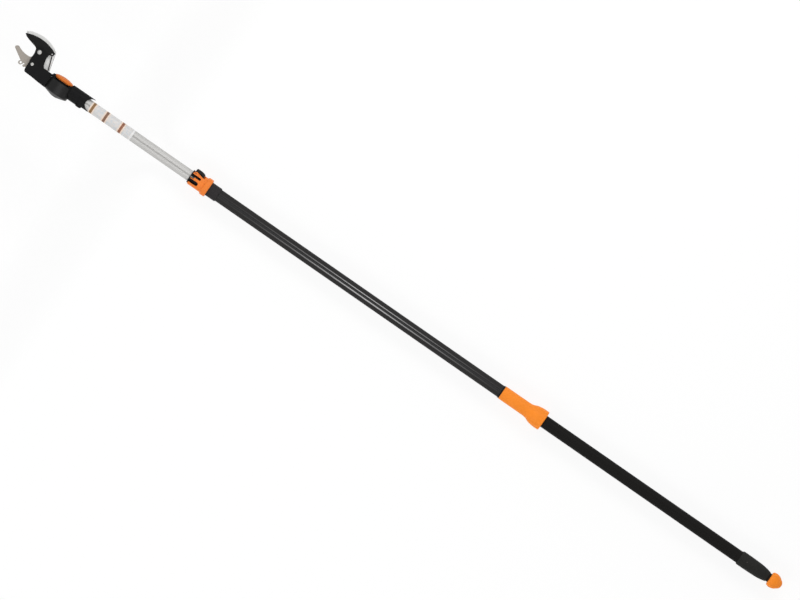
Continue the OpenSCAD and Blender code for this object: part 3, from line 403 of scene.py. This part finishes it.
def webbing_material():
    """Flat strap: fine crosswise picks over lengthwise ribs."""
    s = Shader("strap", 0.8, 0.0, 0.25)
    pick = s.math("SINE", s.product(s.axis(0), 2 * math.pi / (PICK_PITCH * MM)))
    rib = s.math("SINE", s.product(s.axis(1), 2 * math.pi / (RIB_PITCH * MM)))
    weave = s.product(pick, rib)
    tone = s.ramp(s.span(weave, -1, 1, 0, 1), (0.2, srgb(26, 26, 27)), (0.8, srgb(54, 54, 55)))
    s.finish(tone, None, s.raised(weave, 0.5, 0.1))


def cord_material(name, dark, light):
    """Laid cord: the strands are in the mesh, and the fibre here."""
    s = Shader(name, 0.78, 0.0, 0.3)
    fibre = s.streaks((2600.0, 900.0, 2600.0), 4.0, (0, 0, 0.5))
    s.finish(s.ramp(fibre, (0.3, dark), (0.7, light)), None, s.raised(fibre, 0.4, 0.1))


plastic("orange_plastic", srgb(240, 136, 40), rough=0.46, spec=0.12,
        grain=2400.0, relief=0.10, vary=0.03, edge=0.08, seam=True)
plastic("collar_orange", srgb(231, 125, 50), rough=0.44, spec=0.14,
        grain=2400.0, relief=0.10, vary=0.04, edge=0.12, seam=True)
plastic("black_plastic", srgb(18, 18, 19), rough=0.5, spec=0.07,
        grain=2000.0, relief=0.22, vary=0.10, edge=1.2)
plastic("ferrule_plastic", srgb(42, 40, 41), rough=0.5, spec=0.08,
        grain=1800.0, relief=0.22, vary=0.10, edge=0.5)
plastic("grip_rubber", srgb(30, 30, 28), rough=0.62, spec=0.12,
        grain=1500.0, relief=0.3, vary=0.08, edge=0.4)
plastic("blade_coat", srgb(21, 21, 21), rough=0.42, spec=0.08,
        grain=3200.0, relief=0.10, vary=0.14, edge=1.6)
metal("silver_tube", srgb(187, 186, 184), rough=0.55, along=(2.0, 800.0, 800.0),
      vary=0.04, relief=0.06, metallic=0.25, spec=0.3)
metal("steel", srgb(160, 159, 157), rough=0.38, along=(500.0, 500.0, 60.0),
      vary=0.10, relief=0.10, metallic=0.6)
metal("dark_steel", srgb(52, 44, 40), rough=0.42, along=(500.0, 500.0, 60.0),
      vary=0.12, relief=0.10, metallic=0.5)
metal("hook_steel", srgb(150, 143, 135), rough=0.5, along=(90.0, 900.0, 900.0),
      vary=0.08, relief=0.12, metallic=0.25, spec=0.4, edge=0.25)
metal("lever_grey", srgb(236, 236, 234), rough=0.45, along=(120.0, 500.0, 500.0),
      vary=0.03, relief=0.08, metallic=0.0, spec=0.35, edge=0.03)
metal("spring_wire", srgb(44, 42, 41), rough=0.36, along=(400.0, 400.0, 400.0),
      vary=0.12, relief=0.1, metallic=0.8)
hub_material()
dial_material()
tube_material()
label_material()
webbing_material()
cord_material("cord", srgb(170, 170, 168), srgb(222, 222, 219))
cord_material("dark_cord", srgb(30, 30, 30), srgb(60, 60, 58))

# nodes with a finish of their own inside their slot
FINISH = {"lever_pin_steel": "dark_steel", "grip_pin": "dark_steel", "ferrule_rivets": "dark_steel",
          "socket_screw": "dark_steel", "ferrule": "ferrule_plastic", "head_body": "hub_plastic",
          "clamp_collar": "collar_orange", "tilt_dial": "dial_orange"}

for part in frame["record"]["subparts"]:
    slots = nodes[part["node"]].data.materials
    slots.clear()
    slots.append(MATERIALS[FINISH.get(part["node"], part["material_slot"])])


# Making pieces, in millimetres

def turns(count):
    """Angles of points evenly round a circle."""
    return [2 * math.pi * k / count for k in range(count)]


def sweep(name, rings, slot, material=None):
    """A closed smooth skin through rings of points, capped at both ends."""
    n = len(rings[0])
    last = (len(rings) - 1) * n
    faces = []
    for i in range(0, last, n):
        for j in range(n):
            k = (j + 1) % n
            faces.append((i + j, i + k, i + k + n, i + j + n))
    faces.append(tuple(range(n - 1, -1, -1)))
    faces.append(tuple(range(last, last + n)))
    mesh = bpy.data.meshes.new(name)
    mesh.from_pydata([p * MM for ring in rings for p in ring], [], faces)
    mesh.validate()
    skin = bmesh.new()
    skin.from_mesh(mesh)
    bmesh.ops.recalc_face_normals(skin, faces=skin.faces)
    skin.to_mesh(mesh)
    skin.free()
    for face in mesh.polygons:
        face.use_smooth = True
    mesh.materials.append(MATERIALS[material or slot])
    obj = bpy.data.objects.new(name, mesh)
    scene.collection.objects.link(obj)
    return obj


def resample(points, step):
    """Points along a path, its corners kept, at about one step apart."""
    out = [points[0]]
    for a, b in zip(points, points[1:]):
        count = max(1, round((b - a).length / step))
        out += [a.lerp(b, (i + 1) / count) for i in range(count)]
    return out


def sides(path, ref):
    """Each point of a path with two directions across the path there."""
    out = []
    for i, p in enumerate(path):
        along = (path[min(i + 1, len(path) - 1)] - path[max(i - 1, 0)]).normalized()
        a = along.cross(ref)
        if a.length < 0.3:
            a = along.cross(UP)
        a.normalize()
        out.append((p, a, along.cross(a).normalized()))
    return out


def laid_cord(name, path, r, material="cord", lay=5.0, step=0.7):
    """Strands laid round each other, inside radius r. The lay is the length of one turn."""
    strands, depth, points = 3, 0.12, 18
    path = resample(path, step)
    rings = []
    run = 0.0
    for i, (p, a, b) in enumerate(sides(path, UP)):
        run += (p - path[i - 1]).length if i else 0.0
        turn = 2 * math.pi * run / lay
        ring = []
        for f in turns(points):
            q = r * (1 - depth + depth * math.cos(strands * f))
            ring.append(p + q * (math.cos(f + turn) * a + math.sin(f + turn) * b))
        rings.append(ring)
    return sweep(name, rings, "cord", material)


def webbing(name, stations, step=2.0):
    """A flat strap with rolled edges, SIDE across, through stations of (centre, thickness direction)."""
    half = [(-1, 0), (-0.94, 0.7), (-0.8, 1), (-0.4, 0.94), (0, 1), (0.4, 0.94), (0.8, 1), (0.94, 0.7)]
    section = half + [(-s, -q) for s, q in half]
    stations = [(Vector(c), Vector(n)) for c, n in stations]
    places = []
    for (c0, n0), (c1, n1) in zip(stations, stations[1:]):
        count = max(1, round((c1 - c0).length / step))
        places += [(c0.lerp(c1, i / count), n0.lerp(n1, i / count).normalized()) for i in range(count)]
    places.append(stations[-1])
    rings = [[c + SIDE * (s * STRAP_W / 2) + n * (q * STRAP_T / 2) for s, q in section] for c, n in places]
    return sweep(name, rings, "strap")


# Strap, in four lengths

# the strap stops short of the pieces that it meets, and clears what it turns on
STRAP_GAP, BAR_GAP, FOOT_GAP, DRUM_GAP = 0.1, 0.06, 0.05, 0.2
# how far the strap reaches into the handle, to its clamp
HANDLE_HOLD = 12.8


def half_turn(x, z, r, way):
    """Strap stations round a roller, from its top to its underside."""
    angles = [math.radians(90 + way * 15 * i) for i in range(13)]
    return [((x + r * math.cos(a), 0, z + r * math.sin(a)), (math.cos(a), 0, math.sin(a))) for a in angles]


drive = webbing("drive_webbing", [
    ((HANDLE_END - HANDLE_HOLD, 0, OUT_Z), UP),
    ((FERRULE_X - STRAP_GAP, 0, OUT_Z), UP)], 4.0)
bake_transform(drive)
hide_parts("strap_drive")

turn = webbing("turn_webbing", [
    ((FERRULE_X, 0, OUT_Z), UP),
    ((FERRULE_X + 4, 0, OUT_Z), UP),
    *half_turn(BAR_X, BAR_Z, BAR_R + BAR_GAP + STRAP_T / 2, -1),
    ((FERRULE_X + 14, 0, IN_Z), DOWN),
    ((FERRULE_X + STRAP_GAP, 0, IN_Z), DOWN)])
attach(turn, "pole")
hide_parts("strap_turn")

groove = webbing("groove_webbing", [
    ((FOOT_X + STRAP_GAP, 0, IN_Z), UP),
    ((FERRULE_X, 0, IN_Z), UP)], 8.0)
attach(groove, "pole")
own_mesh(groove)
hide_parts("strap_groove")

# direction from the tilt axis to where the strap meets the big drum
meet_angle = math.atan2(GUIDE[1], GUIDE[0]) + math.acos(SPOOL_BIG_R / math.hypot(*GUIDE))
meet = Vector((math.cos(meet_angle), 0, math.sin(meet_angle)))
mast_run = webbing("mast_webbing", [
    *half_turn(FOOT_X, FOOT_Z, FOOT_R + FOOT_GAP + STRAP_T / 2, 1),
    ((FOOT_X + 30, 0, MAST_STRAP_Z), DOWN),
    ((DRUM_X + GUIDE[0] - 60, SPOOL_Y, GUIDE[1]), DOWN),
    ((DRUM_X + GUIDE[0], SPOOL_Y, GUIDE[1]), DOWN),
    (Vector((DRUM_X - DRUM_GAP, SPOOL_Y, 0)) + SPOOL_BIG_R * meet, meet)], 8.0)
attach(mast_run, "mast")
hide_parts("strap_mast")


# Head cord, in three lengths

# the cord stops short of where it meets the next length, in millimetres, and of the rim's ends, in degrees
SPAN_GAP, CORNER_GAP = 0.1, 0.8
RIM_LEAD, RIM_REST = 1.0, 3.0


def head(p, z=CORD_Z):
    """A place from the tilt axis, in the frame."""
    return Vector((DRUM_X + p[0], p[1], z))


def head_arc(centre, r, first, last, steps):
    """Points along an arc round a place from the tilt axis."""
    angles = [first + (last - first) * i / steps for i in range(steps + 1)]
    return [head((centre[0] + r * math.cos(a), centre[1] + r * math.sin(a))) for a in angles]


corner = Vector(CORNER)
across = (corner - Vector((ROLLER[0] + ROLLER_TURN, ROLLER[1]))).normalized()
leave = math.atan2(across.y, across.x) + math.pi / 2
wrap = head_arc(ROLLER, ROLLER_TURN, math.pi / 2, leave, 12)
spool_end = Vector((DRUM_X + DRUM_GAP, SPOOL_CORD_Y, -SPOOL_SMALL_R))
roller_cord = laid_cord("roller_cord", [spool_end, *wrap], CORD_R)
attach(roller_cord, "head")
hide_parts("cord_head")

off = Vector((wrap[-1].x - DRUM_X, wrap[-1].y))
span_path = [head(off + SPAN_GAP * across), head(corner - CORNER_GAP * across)]
span_cord = laid_cord("span_cord", span_path, CORD_R)
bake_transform(span_cord)
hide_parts("cord_span")

rim = head_arc(RIM_C, RIM_CORD_R, math.radians(RIM_A0 + RIM_LEAD), math.radians(RIM_A1 - RIM_REST), 40)
rim_cord = laid_cord("rim_cord", [head(corner), head(corner + Vector((2, -5.4))), *rim], CORD_R)
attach(rim_cord, "lever")
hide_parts("cord_rim")


# Knob's cord, with a knot for its stop

ROPE_R, STOP_LEN = 1.48, 5.2
KNOT_R, KNOT_HALF, KNOT_STEPS = 4.7, 2.5, 14

rope_start, rope_end = (end.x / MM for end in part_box("knob_cord"))
rope_path = [Vector((rope_start, 0, 0)), Vector((rope_end - STOP_LEN, 0, 0))]
rope = laid_cord("knob_rope", rope_path, ROPE_R, "dark_cord", lay=6.0, step=1.0)


def knot_ring(f):
    """One ring of a lumpy ball with blunt ends, at an angle from the end where the cord comes in."""
    x = rope_end - STOP_LEN / 2 - KNOT_HALF * math.cos(f)
    r = max(0.4, KNOT_R * math.sin(f) ** 0.6)
    ring = []
    for g in turns(20):
        q = r * (1 + 0.06 * math.cos(5 * g + 6 * f))
        ring.append(Vector((x, q * math.cos(g), q * math.sin(g))))
    return ring


knot_rings = [knot_ring(math.pi * i / KNOT_STEPS) for i in range(KNOT_STEPS + 1)]
knot = sweep("knob_rope_knot", knot_rings, "cord", "dark_cord")
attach(rope, "knob")
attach(knot, "knob")
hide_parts("knob_cord")


# Return spring: the same curl as in the source

# thicker than the source's wire, so that the spring is as dark as in the photo
WIRE_R, HOOK_GAP = 0.45, 0.12
HOOK_R = PIN_R + WIRE_R + HOOK_GAP
# the coil's distance from the pins, and the lead between coil and hook
SPRING_END, COIL_POINTS = 6.0, 16
LEAD_LEN, LEAD_SIDE = 1.6, 0.92 * COIL_R

stretch = Vector(EAR) - Vector(ANCHOR)
length, u = stretch.length, stretch.normalized()


def on_spring(t, s, z):
    """A place t along the spring, s to its side and z above its middle."""
    return head(Vector(ANCHOR) + u * t + Vector((-u.y, u.x)) * s, SPRING_Z + z)


def spring_hook(t, first):
    """The bend round the pin at one end of the spring."""
    angles = [math.radians(first - 15 * i) for i in range(15)]
    return [on_spring(t + HOOK_R * math.cos(a), HOOK_R * math.sin(a), 0) for a in angles]


def spring_coil():
    """The coil between the two hooks, with a short lead on either side of it."""
    first, last, count = SPRING_END, length - SPRING_END, COILS * COIL_POINTS
    out = [on_spring(first - LEAD_LEN, LEAD_SIDE, 0)]
    for i in range(count + 1):
        t = first + (last - first) * i / count
        a = math.radians(90 - 360 * i / COIL_POINTS)
        out.append(on_spring(t, COIL_R * math.sin(a), COIL_R * math.cos(a)))
    out.append(on_spring(last + LEAD_LEN, LEAD_SIDE, 0))
    return out


curl = spring_hook(0, -60) + spring_coil() + spring_hook(length, 90)
wire = [[p + WIRE_R * (math.cos(f) * a + math.sin(f) * b) for f in turns(10)]
        for p, a, b in sides(curl, Vector((u.x, u.y, 0)))]
spring = sweep("return_spring_wire", wire, "spring_wire")
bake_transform(spring)
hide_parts("return_spring")


# Head of the blade's corner pin, riveted over on the face that the photo sees

# its outline, as radius and height over the blade
RIVET = ((2.0, -0.02), (2.0, 0.25), (1.75, 0.6), (1.2, 0.85), (0.5, 0.95))

blade_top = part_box("blade")[1].z / MM
dome = [[head(EAR, blade_top + height) + Vector((r * math.cos(g), r * math.sin(g), 0)) for g in turns(24)]
        for r, height in RIVET]
ear_rivet = sweep("ear_rivet", dome, "steel")
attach(ear_rivet, "blade")


# Floor, light and camera, in metres

# the floor's own tone, and how much of its white is plain
FLOOR_TONE, FLOOR_GLOW = 0.95, 0.86


def floor_material():
    """Pale floor that looks nearly white and keeps the shadow."""
    material = bpy.data.materials.new("floor")
    material.use_nodes = True
    material.node_tree.nodes.clear()
    t = Nodes(material.node_tree)
    diffuse = t.node("ShaderNodeBsdfDiffuse")
    diffuse.inputs["Color"].default_value = (FLOOR_TONE, FLOOR_TONE, FLOOR_TONE, 1)
    glow = t.node("ShaderNodeEmission")
    glow.inputs["Color"].default_value = (1, 1, 1, 1)
    mix = t.node("ShaderNodeMixShader")
    t.link(t.math("MULTIPLY", t.sees_white(), FLOOR_GLOW), mix.inputs["Fac"])
    t.link(diffuse.outputs[0], mix.inputs[1])
    t.link(glow.outputs[0], mix.inputs[2])
    t.link(mix.outputs[0], t.node("ShaderNodeOutputMaterial").inputs["Surface"])
    return material


# the floor falls away under the head, which tilts to 110 degrees below the pole
FLOOR_REACH, FLOOR_GAP = 12.0, 0.0005
EDGE_X, EDGE_RUN, EDGE_DROP, EDGE_STEPS = 0.60, 0.22, 0.24, 24

floor_z = cad_box[0][2] - FLOOR_GAP
profile = [(-FLOOR_REACH, floor_z)]
for i in range(EDGE_STEPS + 1):
    f = i / EDGE_STEPS
    profile.append((EDGE_X + EDGE_RUN * f, floor_z - EDGE_DROP * (1 - math.cos(math.pi * f)) / 2))
profile.append((FLOOR_REACH, floor_z - EDGE_DROP))
floor_mesh = bpy.data.meshes.new("floor")
floor_mesh.from_pydata([(x, y, z) for x, z in profile for y in (-FLOOR_REACH, FLOOR_REACH)], [],
                       [(2 * i, 2 * i + 2, 2 * i + 3, 2 * i + 1) for i in range(len(profile) - 1)])
for face in floor_mesh.polygons:
    face.use_smooth = True
floor_mesh.materials.append(floor_material())
floor = bpy.data.objects.new("floor", floor_mesh)
scene.collection.objects.link(floor)

# the sky is white to the eye, and as a light it is strongest at the horizon
HORIZON, ZENITH = 0.95, 0.30

world = bpy.data.worlds.new("studio")
scene.world = world
world.use_nodes = True
sky = Nodes(world.node_tree)
direction = sky.node("ShaderNodeSeparateXYZ")
sky.link(sky.node("ShaderNodeTexCoord").outputs["Generated"], direction.inputs[0])
light = sky.span(sky.math("ABSOLUTE", direction.outputs["Z"]), 0.15, 0.95, HORIZON, ZENITH)
background = world.node_tree.nodes["Background"]
background.inputs["Color"].default_value = (1, 1, 1, 1)
sky.link(sky.math("MAXIMUM", light, sky.sees_white()), background.inputs["Strength"])


def lamp(name, place, aim, size, power):
    area = bpy.data.lights.new(name, "AREA")
    area.shape = "RECTANGLE"
    area.size, area.size_y = size
    area.energy = power
    obj = bpy.data.objects.new(name, area)
    scene.collection.objects.link(obj)
    obj.location = place
    obj.rotation_euler = (Vector(aim) - Vector(place)).to_track_quat("-Z", "Y").to_euler()


lamp("key", place=(0.2, -2.6, 2.6), aim=(0, 0, 0), size=(3.2, 1.2), power=48)
lamp("fill", place=(0.2, 2.6, 2.6), aim=(0, 0, 0), size=(3.2, 1.2), power=36)
lamp("top", place=(0.2, 0, 3.2), aim=(0.2, 0, 0), size=(3.2, 0.5), power=20)

# the camera looks straight down on the pole, which slopes across the photo at this angle
POLE_ANGLE = math.radians(34.7722476)
VIEW_X, VIEW_Y, VIEW_DISTANCE = -0.09432, -0.04492, 15.0
# the photo's width in pixels, and a pixel's size at the pole
PHOTO_WIDTH, PIXEL = 800, 2.553 * MM
SENSOR = 36.0

view = bpy.data.cameras.new("camera")
view.sensor_width = SENSOR
view.lens = SENSOR * VIEW_DISTANCE / (PHOTO_WIDTH * PIXEL)
view.clip_end = 60.0
camera = bpy.data.objects.new("camera", view)
scene.collection.objects.link(camera)
cos, sin = math.cos(POLE_ANGLE), math.sin(POLE_ANGLE)
camera.matrix_world = Matrix((
    (-cos, sin, 0, VIEW_X),
    (-sin, -cos, 0, VIEW_Y),
    (0, 0, 1, VIEW_DISTANCE),
    (0, 0, 0, 1)))
scene.camera = camera
scene.view_settings.view_transform = "Standard"
